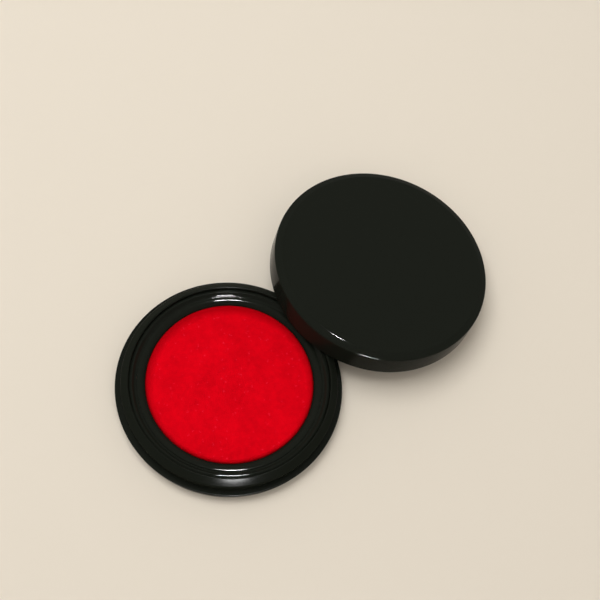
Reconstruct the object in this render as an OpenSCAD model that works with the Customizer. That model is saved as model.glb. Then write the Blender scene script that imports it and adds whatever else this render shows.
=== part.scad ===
// Round seal paste box, standing open: a low case with a cloth-covered ink pad,
// and its push-on lid, taken off and leaning on the rim of the case.
// The origin is on the case's axis, on the surface that the box stands on.
// +Z is up and +X runs from the case towards the lid.

/* [Pad] */
// Width of the red pad that shows inside the ring
pad_d = 50.2; // [40:0.2:80]
// Height of the pad's middle above the ring
pad_rise = 1; // [0.6:0.1:1.6]
// How much higher the pad's middle is than its edge
pad_crown = 0.9; // [0.5:0.1:1.6]
// Radius of the pad's rounded edge
pad_edge_r = 1.2; // [0.8:0.1:1.5]
// Thickness of the cover cloth
cloth_t = 0.35; // [0.2:0.05:0.5]
// Thickness of the felt where the ring clamps it
felt_rim_t = 1.65; // [1.2:0.05:2.1]

/* [Retaining ring] */
// Width of the ring's band
ring_w = 2.45; // [2.3:0.05:3.2]
// Height of the ring
ring_h = 1.75; // [1.5:0.05:2.2]
// Radius of the ring's rounded crest
ring_crest_r = 2; // [1.2:0.1:2.1]
// Slope of the crest where it meets the ring's outer side, in degrees
ring_fall = 16; // [8:1:30]
// Slope of the bevel that leads down to the pad, in degrees
ring_bevel = 35; // [20:1:38]

/* [Tray] */
// Width of the tray's lip, from the ring to the case
lip_w = 2.25; // [2.2:0.05:2.55]
// How far the lip stands below the top of the case
lip_drop = 0.9; // [0.8:0.05:1.3]
// Slope of the lip's inner face, in degrees
lip_slope = 52; // [46:1:60]
// Radius of the lip's crowned top
lip_crown_r = 1.3; // [1.2:0.1:2.5]
// Radius of the edges on both sides of that top
lip_edge_r = 0.15; // [0.1:0.05:0.2]
// Radius of the cove at the foot of the lip
cove_r = 0.8; // [0.4:0.05:0.9]
// How far the foot of the lip lies below the ring's crest
step_drop = 0.25; // [0.2:0.05:0.5]
// Thickness of the lip's foot above the seat that it hangs on
step_t = 1.3; // [0.9:0.05:1.5]
// Thickness of the tray's wall
tray_wall = 0.9; // [0.7:0.05:1.2]
// Thickness of the tray's floor
tray_floor = 1; // [0.8:0.1:1.4]

/* [Case] */
// Height of the ledge that the lid's rim sits on
ledge_h = 3.4; // [3.2:0.1:4.3]
// Height of the neck above the ledge
neck_rise = 4.7; // [4.3:0.1:5.6]
// Width of the neck's shoulder, outside the tray's lip
neck_w = 2.4; // [2:0.05:3]
// Slope of the neck's shoulder, in degrees
shoulder_slope = 42; // [30:1:50]
// Radius between the shoulder and the neck's side
shoulder_r = 0.9; // [0.6:0.1:1.8]
// Radius of the neck's inner top edge
neck_edge_r = 0.3; // [0.2:0.05:0.5]
// Width of the ledge outside the neck
ledge_w = 1.7; // [1.6:0.05:3]
// Radius of the flange's top edge
flange_edge_r = 0.25; // [0.2:0.05:1.2]
// How much the flange's side leans in towards its foot
flange_draft = 0.5; // [0.1:0.1:0.6]
// Thickness of the case's moulded walls
case_wall = 1.1; // [0.8:0.05:1.2]
// Thickness of the case's floor
floor_t = 1.6; // [1.2:0.1:2]

/* [Lid] */
// Height of the lid
lid_h = 8.7; // [8.2:0.1:12]
// Thickness of the lid's side wall
lid_wall = 1.7; // [1.4:0.1:2.4]
// Thickness of the lid's top
lid_top = 1.5; // [1.2:0.1:2]
// Width of the sloping band round the lid's flat top
lid_band_w = 2.4; // [1.8:0.1:4]
// Slope of that band, in degrees
lid_band = 22; // [16:1:30]
// Radius between the flat top and the band
lid_crease_r = 1; // [0.6:0.1:1.6]
// Radius between the band and the lid's side
lid_edge_r = 0.6; // [0.4:0.1:1]
// How much the lid's side leans in towards its top
lid_draft = 0.15; // [0.05:0.05:0.4]
// Radius of the corner inside the lid
lid_corner_r = 0.8; // [0.4:0.1:1.2]
// Thickness of the rib that seals on the tray's lip
seal_rib_t = 0.9; // [0.6:0.1:1.2]

/* [Fits] */
// Radius that breaks the sharp moulded edges
break_r = 0.3; // [0.2:0.05:0.35]
// Clearance between the lid and the neck, on the radius
lid_fit = 0.15; // [0.05:0.05:0.3]
// Clearance round the tray, and round the ring in it
tray_fit = 0.06; // [0.04:0.01:0.1]
// Clearance between the felt, the cloth and what holds them
pad_fit = 0.12; // [0.05:0.01:0.2]
// Gap under the sealing rib when the lid is on
seal_gap = 0.1; // [0.05:0.05:0.2]

/* [Leaning lid] */
// How far the case's rim reaches in under the leaning lid
lid_lap = 3.3; // [1:0.1:6]
// Gap left between the leaning lid and the rim under it
lean_gap = 0.12; // [0.05:0.01:0.2]
// Least tilt that is tried for the leaning lid, in degrees
lean_low = 2; // [1:1:4]
// Greatest tilt that is tried for it, in degrees
lean_high = 20; // [14:1:30]

/* [Hidden] */
$fn = 128;

// Radii, from the pad outwards
ring_in_r = pad_d / 2;
ring_out_r = ring_in_r + ring_w;
tray_in_r = ring_out_r + tray_fit;
tray_out_r = tray_in_r + tray_wall;
lip_out_r = tray_in_r + lip_w;
seam_r = lip_out_r + tray_fit;
bore_r = tray_out_r + tray_fit;
neck_r = seam_r + neck_w;
flange_r = neck_r + ledge_w;
pad_r = ring_in_r - pad_fit;
brim_r = tray_in_r - pad_fit;
lid_in_r = neck_r + lid_fit;
lid_r = lid_in_r + lid_wall;

// Heights, from the table upwards
case_h = ledge_h + neck_rise;
tray_z = floor_t + tray_floor;
cloth_z = tray_z + felt_rim_t;
ring_z = cloth_z + cloth_t;
ring_top = ring_z + ring_h;
step_z = ring_top - step_drop;
seat_z = step_z - step_t;
lip_top = case_h - lip_drop;
pad_top = ring_top + pad_rise;

// Points along an arc from angle a0 to a1 about the centre c, in [radius, height]
function arc(c, r, a0, a1, n = 8) =
    [for (i = [0:n]) c + r * [cos(a0 + (a1 - a0) * i / n), sin(a0 + (a1 - a0) * i / n)]];

// A straight slope runs down from a rounded edge to a rounded side and touches both: how far
// the centre of the lower rounding lies below the centre of the upper one, dx further in
function slope_drop(dx, slope, upper_r, lower_r) =
    (dx * sin(slope) + lower_r - upper_r) / cos(slope);

// The neck's shoulder slopes from the rounded inner top edge to the neck's side
shoulder_c_r = neck_r - shoulder_r;
edge_c_r = seam_r + neck_edge_r;
shoulder_z = case_h - neck_edge_r
    - slope_drop(shoulder_c_r - edge_c_r, shoulder_slope, neck_edge_r, shoulder_r);

// The lip: a cove at its foot, a straight inner face, and a crowned top that starts level at the
// inner edge and falls away to the rounded outer edge, where it has turned by lip_fall
cove_c = [tray_in_r, step_z + cove_r];
face_foot = cove_c + cove_r * [sin(lip_slope), -cos(lip_slope)];
face_h = lip_top - lip_edge_r * (1 - cos(lip_slope)) - face_foot[1];
brow_r = face_foot[0] + face_h / tan(lip_slope) + lip_edge_r * sin(lip_slope);
lip_fall = asin((lip_out_r - lip_edge_r - brow_r) / (lip_crown_r - lip_edge_r));
outer_z = lip_top - lip_crown_r + (lip_crown_r - lip_edge_r) * cos(lip_fall);

// The pad's crown is part of a large sphere, and its edge arc touches both crown and side
crown_span = pad_r - pad_edge_r;
crown_r = (crown_span * crown_span + pad_crown * pad_crown) / (2 * pad_crown);
crown_c = [0, pad_top - crown_r];
edge_a = acos(crown_span / (crown_r - pad_edge_r));
edge_c = [crown_span, crown_c[1] + (crown_r - pad_edge_r) * sin(edge_a)];

// The pad's outline from its axis to the outer edge of its brim, drawn in by d
function pad_line(d) = concat(
    arc(crown_c, crown_r - d, 90, edge_a, 12),
    arc(edge_c, pad_edge_r - d, edge_a, 0),
    [[pad_r - d, ring_z - d], [brim_r, ring_z - d]]);

// The leaning lid: its far edge stands on the table and its rim lies over the case's rim.
// For a tilt t, in degrees, this is the height of the middle of the lid's rim
function rim_z(t) = (lid_r - break_r) * sin(t) + break_r * (1 - cos(t));
lid_x = edge_c_r + lid_in_r - lid_lap;

// Where the case's rim comes within the gap of the lid's rim plane, this says how far that
// point lies outside the inner edge of the lid's rim: the lid has tilted far enough at zero
function rim_x(t) = lid_x - ((case_h - rim_z(t)) * cos(t) + lean_gap) / sin(t);
function rim_past(t) =
    pow((rim_x(t) - lid_x) * cos(t) - (case_h - rim_z(t)) * sin(t), 2)
    + pow(edge_c_r, 2) - pow(rim_x(t), 2) - pow(lid_in_r, 2);
function lean(low, high, n = 24) =
    n == 0 ? (low + high) / 2
    : rim_past((low + high) / 2) > 0 ? lean((low + high) / 2, high, n - 1)
    : lean(low, (low + high) / 2, n - 1);
lid_tilt = lean(lean_low, lean_high);

// Flanged case: flat floor, double neck wall moulded hollow from below, ledge and skirt
module base_case() {
    skirt_r = flange_r - flange_draft - case_wall;
    slot_z = seat_z - case_wall;
    color("#1b1c1a")
        rotate_extrude()
            polygon(concat(
                [[0, 0], [bore_r + case_wall, 0], [bore_r + case_wall, slot_z],
                 [neck_r - case_wall, slot_z], [neck_r - case_wall, ledge_h - case_wall],
                 [skirt_r, ledge_h - case_wall], [skirt_r, 0]],
                arc([flange_r - flange_draft - break_r, break_r], break_r, -90, 0, 4),
                arc([flange_r - flange_edge_r, ledge_h - flange_edge_r], flange_edge_r, 0, 90),
                [[neck_r, ledge_h]],
                arc([shoulder_c_r, shoulder_z], shoulder_r, 0, 90 - shoulder_slope),
                arc([edge_c_r, case_h - neck_edge_r], neck_edge_r, 90 - shoulder_slope, 180),
                [[seam_r, seat_z], [bore_r, seat_z], [bore_r, floor_t], [0, floor_t]]));
}

// Dish that holds the pad: its lip hangs on the seat inside the neck
module pad_tray() {
    color("#202220")
        rotate_extrude()
            polygon(concat(
                [[0, floor_t]],
                arc([tray_out_r - break_r, floor_t + break_r], break_r, -90, 0, 4),
                [[tray_out_r, seat_z], [lip_out_r, seat_z]],
                arc([lip_out_r - lip_edge_r, outer_z], lip_edge_r, 0, 90 - lip_fall, 4),
                arc([brow_r, lip_top - lip_crown_r], lip_crown_r, 90 - lip_fall, 90),
                arc([brow_r, lip_top - lip_edge_r], lip_edge_r, 90, 90 + lip_slope, 4),
                arc(cove_c, cove_r, lip_slope - 90, -90),
                [[tray_in_r, tray_z], [0, tray_z]]));
}

// Ink-soaked felt, with a thinner brim under the ring
module ink_felt() {
    color("#a8081c")
        rotate_extrude()
            polygon(concat(
                arc(crown_c, crown_r - cloth_t - pad_fit, 90, edge_a, 12),
                arc(edge_c, pad_edge_r - cloth_t - pad_fit, edge_a, 0),
                [[pad_r - cloth_t - pad_fit, cloth_z], [brim_r, cloth_z], [brim_r, tray_z],
                 [0, tray_z]]));
}

// Red cloth stretched over the felt, with its brim clamped under the ring
module cover_cloth() {
    inner = pad_line(cloth_t);
    color("#dc0a1e")
        rotate_extrude()
            polygon(concat(pad_line(0), [for (i = [len(inner) - 1:-1:0]) inner[i]]));
}

// Ring pressed into the tray over the cloth's edge
module retaining_ring() {
    crest_c = [ring_out_r - ring_crest_r * sin(ring_fall), ring_top - ring_crest_r];
    bevel_a = 90 + ring_bevel;
    bevel_top = crest_c + ring_crest_r * [cos(bevel_a), sin(bevel_a)];
    bevel_end = ring_in_r + break_r;
    bevel_z = bevel_top[1] - (bevel_top[0] - bevel_end) * tan(ring_bevel);
    color("#181a19")
        rotate_extrude()
            polygon(concat(
                [[ring_in_r, ring_z], [ring_out_r, ring_z]],
                arc(crest_c, ring_crest_r, 90 - ring_fall, bevel_a, 10),
                [[bevel_end, bevel_z], [ring_in_r, bevel_z - break_r]]));
}

// Lid in its own frame: the middle of its rim at the origin, opening downwards
module lid_cup() {
    ceiling = lid_h - lid_top;
    rib_r = (brow_r + lip_out_r) / 2;
    rib_z = lip_top + seal_gap - ledge_h;
    side_r = lid_r - lid_draft;
    edge_z = lid_h - lid_crease_r
        - slope_drop(lid_band_w - lid_edge_r, lid_band, lid_crease_r, lid_edge_r);
    rotate_extrude()
        polygon(concat(
            [[lid_in_r + break_r, 0]],
            arc([lid_r - break_r, break_r], break_r, -90, 0, 4),
            arc([side_r - lid_edge_r, edge_z], lid_edge_r, 0, 90 - lid_band),
            arc([side_r - lid_band_w, lid_h - lid_crease_r], lid_crease_r, 90 - lid_band, 90, 4),
            [[0, lid_h], [0, ceiling], [rib_r - seal_rib_t / 2, ceiling],
             [rib_r - seal_rib_t / 2, rib_z], [rib_r + seal_rib_t / 2, rib_z],
             [rib_r + seal_rib_t / 2, ceiling]],
            arc([lid_in_r - lid_corner_r, ceiling - lid_corner_r], lid_corner_r, 90, 0, 6),
            [[lid_in_r, break_r]]));
}

// Lid off the box, with its near edge up on the case's rim and its far edge on the table
module lid_shell() {
    color("#1c1e19")
        translate([lid_x, 0, rim_z(lid_tilt)])
            rotate([0, lid_tilt, 0])
                lid_cup();
}

base_case();
pad_tray();
ink_felt();
cover_cloth();
retaining_ring();
lid_shell();
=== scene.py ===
"""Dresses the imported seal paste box: glossy moulded case, tray, ring and lid, and a cloth-covered pad."""
import math

import bmesh
import bpy
from mathutils import Matrix, Vector


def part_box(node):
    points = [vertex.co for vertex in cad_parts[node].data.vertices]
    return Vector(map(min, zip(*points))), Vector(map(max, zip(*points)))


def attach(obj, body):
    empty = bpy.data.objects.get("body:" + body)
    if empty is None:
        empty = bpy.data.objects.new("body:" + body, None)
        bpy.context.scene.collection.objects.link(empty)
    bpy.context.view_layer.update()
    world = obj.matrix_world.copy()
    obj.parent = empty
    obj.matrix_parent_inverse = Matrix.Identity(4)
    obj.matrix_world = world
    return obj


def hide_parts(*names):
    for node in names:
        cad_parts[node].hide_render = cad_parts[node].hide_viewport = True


bl_info = {
    "name": "Seal Paste Box",
    "version": (1, 0, 0),
    "blender": (4, 5, 0),
    "location": "View3D > Sidebar > Paste Box",
    "description": "Builds the visible pieces of an open seal paste box around its packed frame",
    "category": "Object",
}

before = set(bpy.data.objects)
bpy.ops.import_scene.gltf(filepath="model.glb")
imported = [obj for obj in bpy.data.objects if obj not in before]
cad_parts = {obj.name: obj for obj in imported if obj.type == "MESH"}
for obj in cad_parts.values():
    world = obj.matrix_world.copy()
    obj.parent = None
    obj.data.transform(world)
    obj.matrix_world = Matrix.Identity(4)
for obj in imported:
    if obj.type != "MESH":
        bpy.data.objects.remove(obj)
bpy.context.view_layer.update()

# All lengths in the frame are metres; the sizes below are given in millimetres
MM = 0.001

# Steps round a full turn of a piece, fine enough for a clean reflection
TURN_STEPS = 256

# Points of an outline that lie closer than this, in metres, are made one
CLOSE = 1e-6

# Edges that turn by more than this stay crisp on moulded plastic and on cloth
CRISP_PLASTIC = math.radians(32)
CRISP_CLOTH = math.radians(80)

# How worn the plastic is, from 0 to 1, where pieces rub and where fingers hold the lid
RUBBED = 1.0
HANDLED = 0.6


def corner(node, side, axis):
    """One coordinate of a CAD node's box, in millimetres; side 0 is the low corner and 1 the high one."""
    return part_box(node)[side][axis] / MM


class PasteBoxPad(bpy.types.PropertyGroup):
    """Sizes and colours of the felt and its cloth."""
    crown: bpy.props.FloatProperty(
        name="Crown", description="How much higher the pad's middle is than its edge, in mm", default=0.9)
    edge_radius: bpy.props.FloatProperty(
        name="Edge radius", description="Radius of the pad's rounded edge, in mm", default=1.2)
    cloth: bpy.props.FloatProperty(
        name="Cloth", description="Thickness of the cover cloth, in mm", default=0.35)
    fit: bpy.props.FloatProperty(
        name="Fit", description="Clearance between the pad and the ring, in mm", default=0.12)
    thread: bpy.props.FloatProperty(
        name="Thread spacing", description="Distance between two threads of the cloth, in mm", default=0.34)
    colour: bpy.props.StringProperty(
        name="Colour", description="Colour of the paste on the cloth, as an sRGB hex value", default="E60418")
    fibre: bpy.props.StringProperty(
        name="Fibre colour", description="Colour of the loose fibres, as an sRGB hex value", default="EE3048")


class PasteBoxCase(bpy.types.PropertyGroup):
    """Sizes and colour of the case, the tray and the ring."""
    ring_inner: bpy.props.FloatProperty(
        name="Ring inner radius", description="Radius of the hole in the retaining ring, in mm", default=25.1)
    ring_crest: bpy.props.FloatProperty(
        name="Ring crest", description="Radius of the ring's rounded crest, in mm", default=2.0)
    ring_fall: bpy.props.FloatProperty(
        name="Ring fall", description="Slope of the crest where it meets the ring's outer side",
        default=math.radians(16), subtype="ANGLE")
    ring_bevel: bpy.props.FloatProperty(
        name="Ring bevel", description="Slope of the ring's bevel towards the pad",
        default=math.radians(35), subtype="ANGLE")
    step_drop: bpy.props.FloatProperty(
        name="Step drop", description="How far the lip's foot lies below the ring's crest, in mm",
        default=0.25)
    step_thickness: bpy.props.FloatProperty(
        name="Step thickness", description="Thickness of the lip's foot above its seat, in mm", default=1.3)
    lip_slope: bpy.props.FloatProperty(
        name="Lip slope", description="Slope of the inner face of the tray's lip",
        default=math.radians(52), subtype="ANGLE")
    lip_crown: bpy.props.FloatProperty(
        name="Lip crown", description="Radius of the lip's crowned top, in mm", default=1.3)
    lip_edge: bpy.props.FloatProperty(
        name="Lip edge", description="Radius of the edges on both sides of that top, in mm", default=0.15)
    cove: bpy.props.FloatProperty(
        name="Cove", description="Radius of the cove at the foot of the lip, in mm", default=0.8)
    tray_wall: bpy.props.FloatProperty(
        name="Tray wall", description="Thickness of the tray's wall, in mm", default=0.9)
    tray_fit: bpy.props.FloatProperty(
        name="Tray fit", description="Clearance round the tray and round the ring, in mm", default=0.06)
    neck_width: bpy.props.FloatProperty(
        name="Neck width", description="Width of the neck's shoulder, in mm", default=2.4)
    neck_edge: bpy.props.FloatProperty(
        name="Neck edge", description="Radius of the neck's inner top edge, in mm", default=0.3)
    shoulder_slope: bpy.props.FloatProperty(
        name="Shoulder slope", description="Slope of the neck's shoulder",
        default=math.radians(42), subtype="ANGLE")
    shoulder: bpy.props.FloatProperty(
        name="Shoulder edge", description="Radius between the shoulder and the neck's side, in mm",
        default=0.9)
    ledge_height: bpy.props.FloatProperty(
        name="Ledge height", description="Height of the ledge that the lid sits on, in mm", default=3.4)
    flange_edge: bpy.props.FloatProperty(
        name="Flange edge", description="Radius of the flange's top edge, in mm", default=0.25)
    flange_draft: bpy.props.FloatProperty(
        name="Flange draft", description="How much the flange's side leans in, in mm", default=0.5)
    wall: bpy.props.FloatProperty(
        name="Wall", description="Thickness of the case's moulded walls, in mm", default=1.1)
    rub_height: bpy.props.FloatProperty(
        name="Rub height", description="How far above the ledge the lid starts to rub the neck, in mm",
        default=1.0)
    break_edge: bpy.props.FloatProperty(
        name="Broken edge", description="Radius that breaks the sharp moulded edges, in mm", default=0.3)
    colour: bpy.props.StringProperty(
        name="Colour", description="Colour of the black plastic, as an sRGB hex value", default="1A1D18")


class PasteBoxLid(bpy.types.PropertyGroup):
    """Sizes of the lid and how it leans."""
    height: bpy.props.FloatProperty(name="Height", description="Height of the lid, in mm", default=8.7)
    wall: bpy.props.FloatProperty(
        name="Wall", description="Thickness of the lid's side wall, in mm", default=1.7)
    top: bpy.props.FloatProperty(name="Top", description="Thickness of the lid's top, in mm", default=1.5)
    band_width: bpy.props.FloatProperty(
        name="Band width", description="Width of the sloping band round the lid's flat top, in mm",
        default=2.4)
    band_slope: bpy.props.FloatProperty(
        name="Band slope", description="Slope of that band", default=math.radians(22), subtype="ANGLE")
    crease: bpy.props.FloatProperty(
        name="Crease", description="Radius between the flat top and the band, in mm", default=1.0)
    edge: bpy.props.FloatProperty(
        name="Edge", description="Radius between the band and the lid's side, in mm", default=0.6)
    draft: bpy.props.FloatProperty(
        name="Draft", description="How much the lid's side leans in, in mm", default=0.15)
    inner_corner: bpy.props.FloatProperty(
        name="Inner corner", description="Radius of the corner inside the lid, in mm", default=0.8)
    rib: bpy.props.FloatProperty(
        name="Sealing rib", description="Thickness of the rib that seals on the tray's lip, in mm",
        default=0.9)
    rib_gap: bpy.props.FloatProperty(
        name="Rib gap", description="Gap under the sealing rib when the lid is on, in mm", default=0.1)
    dust: bpy.props.StringProperty(
        name="Dust colour", description="Colour of the dust on the lid, as an sRGB hex value",
        default="6E6C66")
    tilt: bpy.props.FloatProperty(
        name="Tilt", description="How far the lid leans over", default=math.radians(7.27735), subtype="ANGLE")
    place: bpy.props.FloatProperty(
        name="Place", description="Distance from the case's axis to the middle of the lid's rim, in mm",
        default=59.39)


class PasteBoxStage(bpy.types.PropertyGroup):
    """Floor, lamps and camera."""
    floor: bpy.props.StringProperty(
        name="Floor", description="Colour of the floor, as an sRGB hex value", default="E9E1D3")
    sky: bpy.props.StringProperty(
        name="Sky", description="Colour of the light from all round, as an sRGB hex value", default="FFF8F0")
    sky_strength: bpy.props.FloatProperty(
        name="Sky strength", description="Strength of the light from all round", default=0.52)
    camera_x: bpy.props.FloatProperty(
        name="Camera X", description="Place of the camera, in mm", default=-84.16)
    camera_y: bpy.props.FloatProperty(
        name="Camera Y", description="Place of the camera, in mm", default=-79.65)
    camera_z: bpy.props.FloatProperty(
        name="Camera Z", description="Height of the camera, in mm", default=312.41)
    aim_x: bpy.props.FloatProperty(
        name="Aim X", description="Point on the floor that the camera looks at, in mm", default=36.25)
    aim_y: bpy.props.FloatProperty(
        name="Aim Y", description="Point on the floor that the camera looks at, in mm", default=9.33)
    roll: bpy.props.FloatProperty(
        name="Roll", description="Turn of the camera about its view",
        default=math.radians(14.484), subtype="ANGLE")
    lens: bpy.props.FloatProperty(
        name="Lens", description="Focal length in mm on a 36 mm sensor", default=65.78)


def settings(group):
    """The current values of one of the groups above."""
    return getattr(bpy.context.scene, "paste_box_" + group)


def arc(centre, radius, start, end, steps=12):
    """Points of an arc about centre, in (radius, height), with its angles in degrees."""
    turns = [math.radians(start + (end - start) * i / steps) for i in range(steps + 1)]
    return [(centre[0] + radius * math.cos(a), centre[1] + radius * math.sin(a)) for a in turns]


def slope_drop(run, slope, upper, lower):
    """How far the lower of two rounded edges lies below the upper one, when a straight slope touches both."""
    return (run * math.sin(slope) + lower - upper) / math.cos(slope)


def linear(hex_value):
    """An sRGB hex colour as linear red, green, blue and alpha."""
    parts = [int(hex_value[i:i + 2], 16) / 255 for i in (0, 2, 4)]
    return tuple(c / 12.92 if c <= 0.04045 else ((c + 0.055) / 1.055) ** 2.4 for c in parts) + (1.0,)


def darker(colour, share):
    """A linear colour with its red, green and blue cut to a share of their values."""
    return tuple(c * share for c in colour[:3]) + (1.0,)


def turned(name, outline, place=Matrix(), crisp=CRISP_PLASTIC, wear=None):
    """A solid made by spinning a closed outline, in mm of (radius, height), about the Z axis.

    wear says for a radius and height, in mm, how worn the surface is there, from 0 to 1."""
    bm = bmesh.new()
    verts = [bm.verts.new((r * MM, 0, z * MM)) for r, z in outline]
    edges = [bm.edges.new((a, b)) for a, b in zip(verts, verts[1:] + verts[:1])]
    bmesh.ops.spin(bm, geom=verts + edges, cent=(0, 0, 0), axis=(0, 0, 1), dvec=(0, 0, 0),
                   angle=math.tau, steps=TURN_STEPS, use_merge=True, use_duplicate=False)
    bmesh.ops.remove_doubles(bm, verts=bm.verts, dist=CLOSE)
    bmesh.ops.dissolve_degenerate(bm, dist=CLOSE / 10, edges=bm.edges)
    loose = [e for e in bm.edges if not e.link_faces]
    bmesh.ops.delete(bm, geom=loose, context="EDGES")
    bmesh.ops.recalc_face_normals(bm, faces=bm.faces)
    for face in bm.faces:
        face.smooth = True
    for edge in bm.edges:
        edge.smooth = not edge.is_manifold or edge.calc_face_angle() < crisp
    worn = bm.verts.layers.float.new("wear")
    if wear:
        for vert in bm.verts:
            vert[worn] = wear(math.hypot(vert.co.x, vert.co.y) / MM, vert.co.z / MM)
    bmesh.ops.transform(bm, matrix=place, verts=bm.verts)
    mesh = bpy.data.meshes.new(name)
    bm.to_mesh(mesh)
    bm.free()
    piece = bpy.data.objects.new(name, mesh)
    bpy.context.scene.collection.objects.link(piece)
    return piece


def dress(piece, material, body, slot, *nodes):
    """Gives a piece its material and its body, and hides the CAD nodes that it stands for. The slot is not
    used.
    """
    piece.data.materials.append(material)
    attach(piece, body)
    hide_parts(*nodes)


def add_node(tree, kind, values=None, links=None, **options):
    """Adds one shader node, sets its options and input values, and links its inputs to other nodes."""
    node = tree.nodes.new(kind)
    for key, value in options.items():
        setattr(node, key, value)
    for key, value in (values or {}).items():
        node.inputs[key].default_value = value
    for key, (source, output) in (links or {}).items():
        tree.links.new(source.outputs[output], node.inputs[key])
    return node


def new_material(name):
    """An empty node material with its output node."""
    material = bpy.data.materials.new(name)
    material.use_nodes = True
    material.node_tree.nodes.clear()
    output = add_node(material.node_tree, "ShaderNodeOutputMaterial")
    return material, material.node_tree, output


def black_gloss_plastic(name, colour, dust=None):
    """Injection-moulded ABS, polished in the mould: near black and glossy, and scuffed where pieces rub."""
    material, tree, output = new_material(name)
    place = add_node(tree, "ShaderNodeTexCoord")
    on_piece = {"Vector": (place, "Object")}
    # The moulding's slow waves, about 9 mm long, bend the reflections a little
    wave = add_node(tree, "ShaderNodeTexNoise", {"Scale": 1 / (9 * MM), "Detail": 1.0}, on_piece)
    bump = add_node(tree, "ShaderNodeBump", {"Strength": 0.1, "Distance": 0.02 * MM},
                    {"Height": (wave, "Fac")})
    # Handling marks, about 2 mm across, dull the gloss unevenly
    marks = add_node(tree, "ShaderNodeTexNoise", {"Scale": 1 / (2 * MM), "Detail": 4.0}, on_piece)
    gloss = add_node(tree, "ShaderNodeMapRange",
                     {"From Min": 0.35, "From Max": 0.75, "To Min": 0.04, "To Max": 0.08},
                     {"Value": (marks, "Fac")})
    # Scuffs, with a grain of about 0.5 mm, on the edges and on the shoulder that the lid rubs on
    grain = add_node(tree, "ShaderNodeTexNoise", {"Scale": 1 / (0.5 * MM), "Detail": 3.0}, on_piece)
    scuff = add_node(tree, "ShaderNodeMapRange",
                     {"From Min": 0.3, "From Max": 0.7, "To Min": 0.14, "To Max": 0.26},
                     {"Value": (grain, "Fac")})
    wear = add_node(tree, "ShaderNodeAttribute", attribute_name="wear")
    rough = add_node(tree, "ShaderNodeMix",
                     links={0: (wear, "Fac"), 2: (gloss, "Result"), 3: (scuff, "Result")},
                     data_type="FLOAT")
    # The polish mirrors little but the lamps, and the scuffs mirror less still
    shine = add_node(tree, "ShaderNodeMapRange", {"To Min": 0.05, "To Max": 0.01}, {"Value": (wear, "Fac")})
    shader = add_node(tree, "ShaderNodeBsdfPrincipled", {"Base Color": linear(colour)},
                      {"Roughness": (rough, 0), "Specular IOR Level": (shine, "Result"),
                       "Normal": (bump, "Normal")})
    if dust:
        # A few specks of dust, about 0.25 mm across and about 9 mm apart
        cells = add_node(tree, "ShaderNodeTexVoronoi", {"Scale": 1 / (9 * MM)}, on_piece)
        near = add_node(tree, "ShaderNodeMapRange",
                        {"From Min": 0.008, "From Max": 0.02, "To Min": 1.0, "To Max": 0.0},
                        {"Value": (cells, "Distance")})
        specks = add_node(tree, "ShaderNodeMix", {6: linear(colour), 7: linear(dust)},
                          {0: (near, "Result")}, data_type="RGBA")
        tree.links.new(specks.outputs[2], shader.inputs["Base Color"])
    tree.links.new(shader.outputs["BSDF"], output.inputs["Surface"])
    return material


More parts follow.
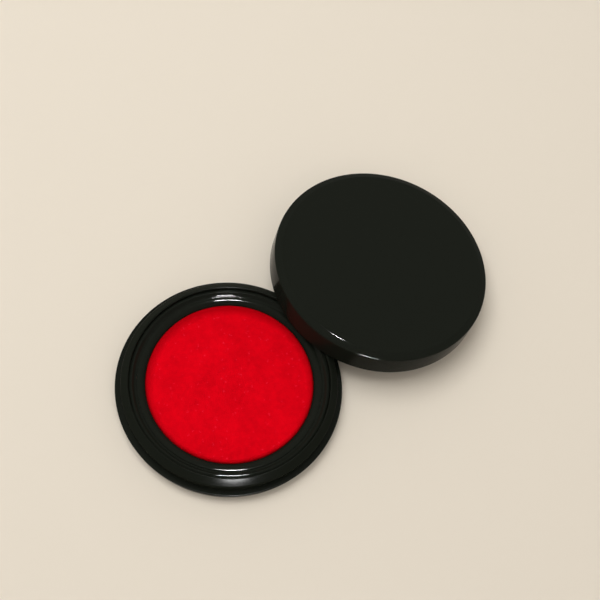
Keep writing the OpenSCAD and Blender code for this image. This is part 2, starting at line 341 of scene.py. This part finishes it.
def paste_cloth(name, pad, radius):
    """Plain-woven cloth soaked with seal paste: vivid red and quite matt, with loose fibres on it and painted
    shade along its edge.
    """
    material, tree, output = new_material(name)
    place = add_node(tree, "ShaderNodeTexCoord")
    on_piece = {"Vector": (place, "Object")}
    red = linear(pad.colour)
    # Threads that run along both axes make the weave
    axes = add_node(tree, "ShaderNodeSeparateXYZ", links=on_piece)
    ridges = []
    for axis in ("X", "Y"):
        turn = add_node(tree, "ShaderNodeMath", {1: math.pi / (pad.thread * MM)}, {0: (axes, axis)},
                        operation="MULTIPLY")
        wave = add_node(tree, "ShaderNodeMath", links={0: (turn, "Value")}, operation="SINE")
        ridges.append(add_node(tree, "ShaderNodeMath", links={0: (wave, "Value")}, operation="ABSOLUTE"))
    weave = add_node(tree, "ShaderNodeMath", links={0: (ridges[0], "Value"), 1: (ridges[1], "Value")},
                     operation="MULTIPLY")
    # Paste lies unevenly on the cloth in patches of about 1.5 mm and of about 7 mm
    patches = add_node(tree, "ShaderNodeTexNoise", {"Scale": 1 / (1.5 * MM), "Detail": 5.0, "Roughness": 0.7},
                       on_piece)
    clouds = add_node(tree, "ShaderNodeTexNoise", {"Scale": 1 / (7 * MM), "Detail": 2.0}, on_piece)
    blend = add_node(tree, "ShaderNodeMath", links={0: (patches, "Fac"), 1: (clouds, "Fac")}, operation="ADD")
    amount = add_node(tree, "ShaderNodeMapRange", {"From Min": 0.75, "From Max": 1.25},
                      {"Value": (blend, "Value")})
    paste = add_node(tree, "ShaderNodeMix", {6: darker(red, 0.82), 7: red}, {0: (amount, "Result")},
                     data_type="RGBA")
    # Paler fibres, about 0.5 mm across, stand out of the paste here and there
    bent = add_node(tree, "ShaderNodeTexNoise", {"Scale": 1 / (0.8 * MM), "Detail": 2.0}, on_piece)
    drift = add_node(tree, "ShaderNodeVectorMath", {"Scale": 2.2 * MM}, {0: (bent, "Color")},
                     operation="SCALE")
    path = add_node(tree, "ShaderNodeVectorMath", links={0: (place, "Object"), 1: (drift, "Vector")},
                    operation="ADD")
    cells = add_node(tree, "ShaderNodeTexVoronoi", {"Scale": 1 / (2.0 * MM)}, {"Vector": (path, "Vector")})
    fibre = add_node(tree, "ShaderNodeMapRange",
                     {"From Min": 0.04, "From Max": 0.2, "To Min": 0.45, "To Max": 0.0},
                     {"Value": (cells, "Distance")})
    colours = add_node(tree, "ShaderNodeMix", {7: linear(pad.fibre)}, {0: (fibre, "Result"), 6: (paste, 2)},
                       data_type="RGBA")
    # Painted shade darkens the rounded edge over about 2.4 mm, where the ring shades it. Its centre is set
    # off so that one side of the pad gets less of it, as painted light from that side
    flat = add_node(tree, "ShaderNodeCombineXYZ", links={"X": (axes, "X"), "Y": (axes, "Y")})
    painted_shade_reach = add_node(tree, "ShaderNodeVectorMath", {1: (-0.8 * MM, -1.2 * MM, 0)}, {0: (flat, "Vector")},
                     operation="DISTANCE")
    edge = add_node(tree, "ShaderNodeMapRange", {"From Min": (radius - 2.4) * MM, "From Max": radius * MM},
                    {"Value": (painted_shade_reach, "Value")})
    # Painted shade: the red is cut to 0.55 along the pad's edge
    shaded = add_node(tree, "ShaderNodeMix", {7: darker(red, 0.55)}, {0: (edge, "Result"), 6: (colours, 2)},
                      data_type="RGBA")
    height = add_node(tree, "ShaderNodeMath", {1: 1.0}, {0: (weave, "Value"), 2: (patches, "Fac")},
                      operation="MULTIPLY_ADD")
    bump = add_node(tree, "ShaderNodeBump", {"Strength": 0.5, "Distance": 0.06 * MM},
                    {"Height": (height, "Value")})
    shader = add_node(tree, "ShaderNodeBsdfPrincipled", {"Roughness": 0.9, "Specular IOR Level": 0.0},
                      {"Base Color": (shaded, 2), "Normal": (bump, "Normal")})
    tree.links.new(shader.outputs["BSDF"], output.inputs["Surface"])
    return material


def soaked_felt(name, colour):
    """Pressed wool felt full of paste: dark red and matt, with short matted fibres."""
    material, tree, output = new_material(name)
    place = add_node(tree, "ShaderNodeTexCoord")
    red = linear(colour)
    # The matted fibres make clumps of about 0.4 mm
    fibres = add_node(tree, "ShaderNodeTexNoise", {"Scale": 1 / (0.4 * MM), "Detail": 6.0, "Distortion": 1.5},
                      {"Vector": (place, "Object")})
    mix = add_node(tree, "ShaderNodeMix", {6: darker(red, 0.4), 7: red}, {0: (fibres, "Fac")},
                   data_type="RGBA")
    bump = add_node(tree, "ShaderNodeBump", {"Strength": 0.8, "Distance": 0.1 * MM},
                    {"Height": (fibres, "Fac")})
    shader = add_node(tree, "ShaderNodeBsdfPrincipled", {"Roughness": 0.9},
                      {"Base Color": (mix, 2), "Normal": (bump, "Normal")})
    tree.links.new(shader.outputs["BSDF"], output.inputs["Surface"])
    return material


def pad_levels():
    """Radii and heights, in mm, that the pad, the ring and the tray share, read from the frame."""
    return {
        "brim": corner("cover_cloth", 1, 0),
        "tray_floor": corner("ink_felt", 0, 2),
        "cloth_foot": corner("cover_cloth", 0, 2),
        "ring_foot": corner("retaining_ring", 0, 2),
        "ring_top": corner("retaining_ring", 1, 2),
        "pad_top": corner("cover_cloth", 1, 2),
    }


def pad_line(drawn_in, steps=48):
    """The pad's outline from its axis to its brim, in mm, drawn in by a distance."""
    pad, case, level = settings("pad"), settings("case"), pad_levels()
    radius = case.ring_inner - pad.fit
    span = radius - pad.edge_radius
    crown = (span * span + pad.crown * pad.crown) / (2 * pad.crown)
    middle = level["pad_top"] - crown
    angle = math.degrees(math.acos(span / (crown - pad.edge_radius)))
    edge = (span, middle + (crown - pad.edge_radius) * math.sin(math.radians(angle)))
    foot = level["ring_foot"] - drawn_in
    return (arc((0, middle), crown - drawn_in, 90, angle, steps)
            + arc(edge, pad.edge_radius - drawn_in, angle, 0)[1:]
            + [(radius - drawn_in, foot), (level["brim"], foot)])


def lip_line(foot, outer, top, step):
    """The tray's lip, in mm, from its outer edge over its crowned top and inner face down to its foot,
    and the radius of that top's inner edge."""
    case = settings("case")
    slope = case.lip_slope
    face = (foot + case.cove * math.sin(slope), step + case.cove * (1 - math.cos(slope)))
    rise = top - case.lip_edge * (1 - math.cos(slope)) - face[1]
    brow = face[0] + rise / math.tan(slope) + case.lip_edge * math.sin(slope)
    fall = math.asin((outer - case.lip_edge - brow) / (case.lip_crown - case.lip_edge))
    edge_z = top - case.lip_crown + (case.lip_crown - case.lip_edge) * math.cos(fall)
    turn = 90 - math.degrees(fall)
    line = (arc((outer - case.lip_edge, edge_z), case.lip_edge, 0, turn, 6)
            + arc((brow, top - case.lip_crown), case.lip_crown, turn, 90)[1:]
            + arc((brow, top - case.lip_edge), case.lip_edge, 90, 90 + math.degrees(slope), 6)[1:]
            + arc((foot, step + case.cove), case.cove, math.degrees(slope) - 90, -90))
    return line, brow


class PASTE_BOX_OT_case(bpy.types.Operator):
    """Makes the flanged case, the tray that hangs in its neck and the ring that holds the cloth"""
    bl_idname = "paste_box.case"
    bl_label = "Case, tray and ring"

    def execute(self, context):
        case, level = settings("case"), pad_levels()
        black = black_gloss_plastic("black_abs_case", case.colour)
        ring_out = corner("retaining_ring", 1, 0)
        tray_in = ring_out + case.tray_fit
        tray_out = tray_in + case.tray_wall
        lip_out = corner("pad_tray", 1, 0)
        lip_top = corner("pad_tray", 1, 2)
        floor_top = corner("pad_tray", 0, 2)
        seam = lip_out + case.tray_fit
        bore = tray_out + case.tray_fit
        neck = seam + case.neck_width
        flange = corner("base_case", 1, 0)
        height = corner("base_case", 1, 2)
        step = level["ring_top"] - case.step_drop
        seat = step - case.step_thickness
        cut = case.break_edge

        crest = (ring_out - case.ring_crest * math.sin(case.ring_fall), level["ring_top"] - case.ring_crest)
        ring_arc = arc(crest, case.ring_crest, 90 - math.degrees(case.ring_fall),
                       90 + math.degrees(case.ring_bevel))
        bevel_end = case.ring_inner + cut
        bevel_height = ring_arc[-1][1] - (ring_arc[-1][0] - bevel_end) * math.tan(case.ring_bevel)
        ring = turned("ring", [(case.ring_inner, level["ring_foot"]), (ring_out, level["ring_foot"])]
                      + ring_arc + [(bevel_end, bevel_height), (case.ring_inner, bevel_height - cut)])

        # The lip is rubbed on the inner edge of its top, but not where that edge ends in the flats
        lip, brow = lip_line(tray_in, lip_out, lip_top, step)
        edge_span = case.lip_edge * math.sin(case.lip_slope)
        tray = turned("tray", [(0, floor_top)] + arc((tray_out - cut, floor_top + cut), cut, -90, 0, 4)
                      + [(tray_out, seat), (lip_out, seat)] + lip
                      + [(tray_in, level["tray_floor"]), (0, level["tray_floor"])],
                      wear=lambda r, z: RUBBED * (0.1 * edge_span < brow - r < 0.9 * edge_span
                                                  and z > lip_top - case.lip_edge))

        shoulder_r = neck - case.shoulder
        edge_r = seam + case.neck_edge
        angle = 90 - math.degrees(case.shoulder_slope)
        shoulder_z = height - case.neck_edge - slope_drop(
            shoulder_r - edge_r, case.shoulder_slope, case.neck_edge, case.shoulder)
        skirt = flange - case.flange_draft - case.wall
        slot = seat - case.wall
        under = case.ledge_height - case.wall
        # The case is rubbed on its shoulder and on the flange's top edge. The point on the ledge beside
        # that edge stops the rub from spreading over the ledge
        body = turned("case", [(0, 0), (bore + case.wall, 0), (bore + case.wall, slot),
                               (neck - case.wall, slot), (neck - case.wall, under), (skirt, under),
                               (skirt, 0)]
                      + arc((flange - case.flange_draft - cut, cut), cut, -90, 0, 6)
                      + arc((flange - case.flange_edge, case.ledge_height - case.flange_edge),
                            case.flange_edge, 0, 90)
                      + [(flange - 2 * case.flange_edge, case.ledge_height), (neck, case.ledge_height)]
                      + arc((shoulder_r, shoulder_z), case.shoulder, 0, angle, 20)
                      + arc((edge_r, height - case.neck_edge), case.neck_edge, angle, 180, 10)
                      + [(seam, seat), (bore, seat), (bore, floor_top), (0, floor_top)],
                      wear=lambda r, z: RUBBED * (
                          z > case.ledge_height + case.rub_height and r > seam
                          or math.hypot(r - flange, z - case.ledge_height) < case.flange_edge))
        dress(body, black, "case", "black_plastic", "base_case")
        dress(tray, black, "case", "black_plastic", "pad_tray")
        dress(ring, black, "case", "black_plastic", "retaining_ring")
        return {"FINISHED"}


class PASTE_BOX_OT_pad(bpy.types.Operator):
    """Makes the soaked felt and the red cloth stretched over it"""
    bl_idname = "paste_box.pad"
    bl_label = "Felt and cloth"

    def execute(self, context):
        pad, level = settings("pad"), pad_levels()
        outer, inner = pad_line(0), pad_line(pad.cloth)
        cloth = turned("cloth", outer + inner[::-1], crisp=CRISP_CLOTH)
        felt_line = pad_line(pad.cloth + pad.fit)
        felt_line[-2:] = [(felt_line[-2][0], level["cloth_foot"]), (level["brim"], level["cloth_foot"])]
        felt = turned("felt", felt_line + [(level["brim"], level["tray_floor"]), (0, level["tray_floor"])])
        radius = settings("case").ring_inner - pad.fit
        dress(cloth, paste_cloth("paste_soaked_cloth", pad, radius), "case", "pad_cloth", "cover_cloth")
        dress(felt, soaked_felt("soaked_felt", pad.colour), "case", "pad_felt", "ink_felt")
        return {"FINISHED"}


class PASTE_BOX_OT_lid(bpy.types.Operator):
    """Makes the lid, leaning with its near edge on the case's rim"""
    bl_idname = "paste_box.lid"
    bl_label = "Lid"

    def execute(self, context):
        lid, case = settings("lid"), settings("case")
        cut = case.break_edge
        radius = corner("lid_shell", 1, 1)
        inner = radius - lid.wall
        ceiling = lid.height - lid.top
        lip_out, lip_top = corner("pad_tray", 1, 0), corner("pad_tray", 1, 2)
        brow = lip_line(corner("retaining_ring", 1, 0) + case.tray_fit, lip_out, lip_top,
                        corner("retaining_ring", 1, 2) - case.step_drop)[1]
        rib = (brow + lip_out) / 2
        rib_foot = lip_top + lid.rib_gap - case.ledge_height
        half = lid.rib / 2
        side = radius - lid.draft
        band = 90 - math.degrees(lid.band_slope)
        edge_z = lid.height - lid.crease - slope_drop(
            lid.band_width - lid.edge, lid.band_slope, lid.crease, lid.edge)
        rim = (radius - cut) * math.sin(lid.tilt) + cut * (1 - math.cos(lid.tilt))
        place = (Matrix.Translation((lid.place * MM, 0, rim * MM)) @ Matrix.Rotation(lid.tilt, 4, "Y"))
        shell = turned("lid", [(inner + cut, 0)] + arc((radius - cut, cut), cut, -90, 0, 6)
                       + arc((side - lid.edge, edge_z), lid.edge, 0, band)
                       + arc((side - lid.band_width, lid.height - lid.crease), lid.crease, band, 90, 8)
                       + [(0, lid.height), (0, ceiling), (rib - half, ceiling), (rib - half, rib_foot),
                          (rib + half, rib_foot), (rib + half, ceiling)]
                       + arc((inner - lid.inner_corner, ceiling - lid.inner_corner), lid.inner_corner, 90, 0)
                       + [(inner, cut)], place,
                       wear=lambda r, z: RUBBED if z < cut else HANDLED * (z < edge_z))
        dress(shell, black_gloss_plastic("black_abs_lid", case.colour, lid.dust), "lid", "black_plastic",
              "lid_shell")
        return {"FINISHED"}


class PASTE_BOX_OT_stage(bpy.types.Operator):
    """Makes the pale floor, the soft lamps and the camera"""
    bl_idname = "paste_box.stage"
    bl_label = "Stage"

    def execute(self, context):
        stage = settings("stage")
        half_floor = 1.5
        bm = bmesh.new()
        bmesh.ops.create_grid(bm, x_segments=1, y_segments=1, size=half_floor)
        mesh = bpy.data.meshes.new("floor")
        bm.to_mesh(mesh)
        bm.free()
        floor = bpy.data.objects.new("floor", mesh)
        bpy.context.scene.collection.objects.link(floor)
        material, tree, output = new_material("pale_paper_floor")
        shader = add_node(tree, "ShaderNodeBsdfDiffuse", {"Color": linear(stage.floor)})
        tree.links.new(shader.outputs["BSDF"], output.inputs["Surface"])
        mesh.materials.append(material)

        world = bpy.data.worlds.new("studio")
        world.use_nodes = True
        background = world.node_tree.nodes["Background"]
        background.inputs["Color"].default_value = linear(stage.sky)
        background.inputs["Strength"].default_value = stage.sky_strength
        bpy.context.scene.world = world

        # One broad lamp lights the scene and is too soft to be mirrored; two small ones are only mirrored
        key = lamp("key_lamp", azimuth=96, elevation=68, distance=1.0, width=0.8, height=0.8, power=5.5)
        key.visible_glossy = False
        ceiling = lamp("ceiling_glint", azimuth=-1.6, elevation=86, distance=1.6, width=0.16, height=0.16,
                       power=60.0)
        window = lamp("window_glint", azimuth=-122.5, elevation=29, distance=0.6, width=0.17, height=0.05,
                      power=34.0)
        ceiling.visible_diffuse = False
        window.visible_diffuse = False

        data = bpy.data.cameras.new("camera")
        data.lens = stage.lens
        camera = bpy.data.objects.new("camera", data)
        bpy.context.scene.collection.objects.link(camera)
        spot = Vector((stage.camera_x, stage.camera_y, stage.camera_z)) * MM
        aim = Vector((stage.aim_x, stage.aim_y, 0)) * MM
        level_view = (aim - spot).to_track_quat("-Z", "Y").to_matrix().to_4x4()
        camera.matrix_world = Matrix.Translation(spot) @ level_view @ Matrix.Rotation(stage.roll, 4, "Z")
        data.clip_start = 10 * MM
        bpy.context.scene.camera = camera
        bpy.context.scene.view_settings.view_transform = "Standard"
        return {"FINISHED"}


def lamp(name, azimuth, elevation, distance, width, height, power):
    """An oval area lamp that faces the case, at a direction in degrees and a distance in metres from it."""
    data = bpy.data.lights.new(name, "AREA")
    data.shape = "ELLIPSE"
    data.size = width
    data.size_y = height
    data.energy = power
    light = bpy.data.objects.new(name, data)
    bpy.context.scene.collection.objects.link(light)
    turn, rise = math.radians(azimuth), math.radians(elevation)
    level = math.cos(rise)
    spot = distance * Vector((level * math.cos(turn), level * math.sin(turn), math.sin(rise)))
    light.matrix_world = Matrix.Translation(spot) @ (-spot).to_track_quat("-Z", "Y").to_matrix().to_4x4()
    return light


class PASTE_BOX_PT_panel(bpy.types.Panel):
    """Lists the steps that build the paste box"""
    bl_idname = "PASTE_BOX_PT_panel"
    bl_label = "Seal paste box"
    bl_space_type = "VIEW_3D"
    bl_region_type = "UI"
    bl_category = "Paste Box"

    def draw(self, context):
        for step in STEPS:
            self.layout.operator(step.bl_idname)


GROUPS = {"pad": PasteBoxPad, "case": PasteBoxCase, "lid": PasteBoxLid, "stage": PasteBoxStage}
STEPS = (PASTE_BOX_OT_case, PASTE_BOX_OT_pad, PASTE_BOX_OT_lid, PASTE_BOX_OT_stage)


def register():
    """Registers the settings, the steps and the panel."""
    for cls in (*GROUPS.values(), *STEPS, PASTE_BOX_PT_panel):
        bpy.utils.register_class(cls)
    for name, cls in GROUPS.items():
        setattr(bpy.types.Scene, "paste_box_" + name, bpy.props.PointerProperty(type=cls))


def unregister():
    """Takes the settings, the steps and the panel away again."""
    for name in GROUPS:
        delattr(bpy.types.Scene, "paste_box_" + name)
    for cls in (PASTE_BOX_PT_panel, *reversed(STEPS), *reversed(GROUPS.values())):
        bpy.utils.unregister_class(cls)


def main():
    register()
    bpy.ops.paste_box.case()
    bpy.ops.paste_box.pad()
    bpy.ops.paste_box.lid()
    bpy.ops.paste_box.stage()


if __name__ == "__main__":
    main()
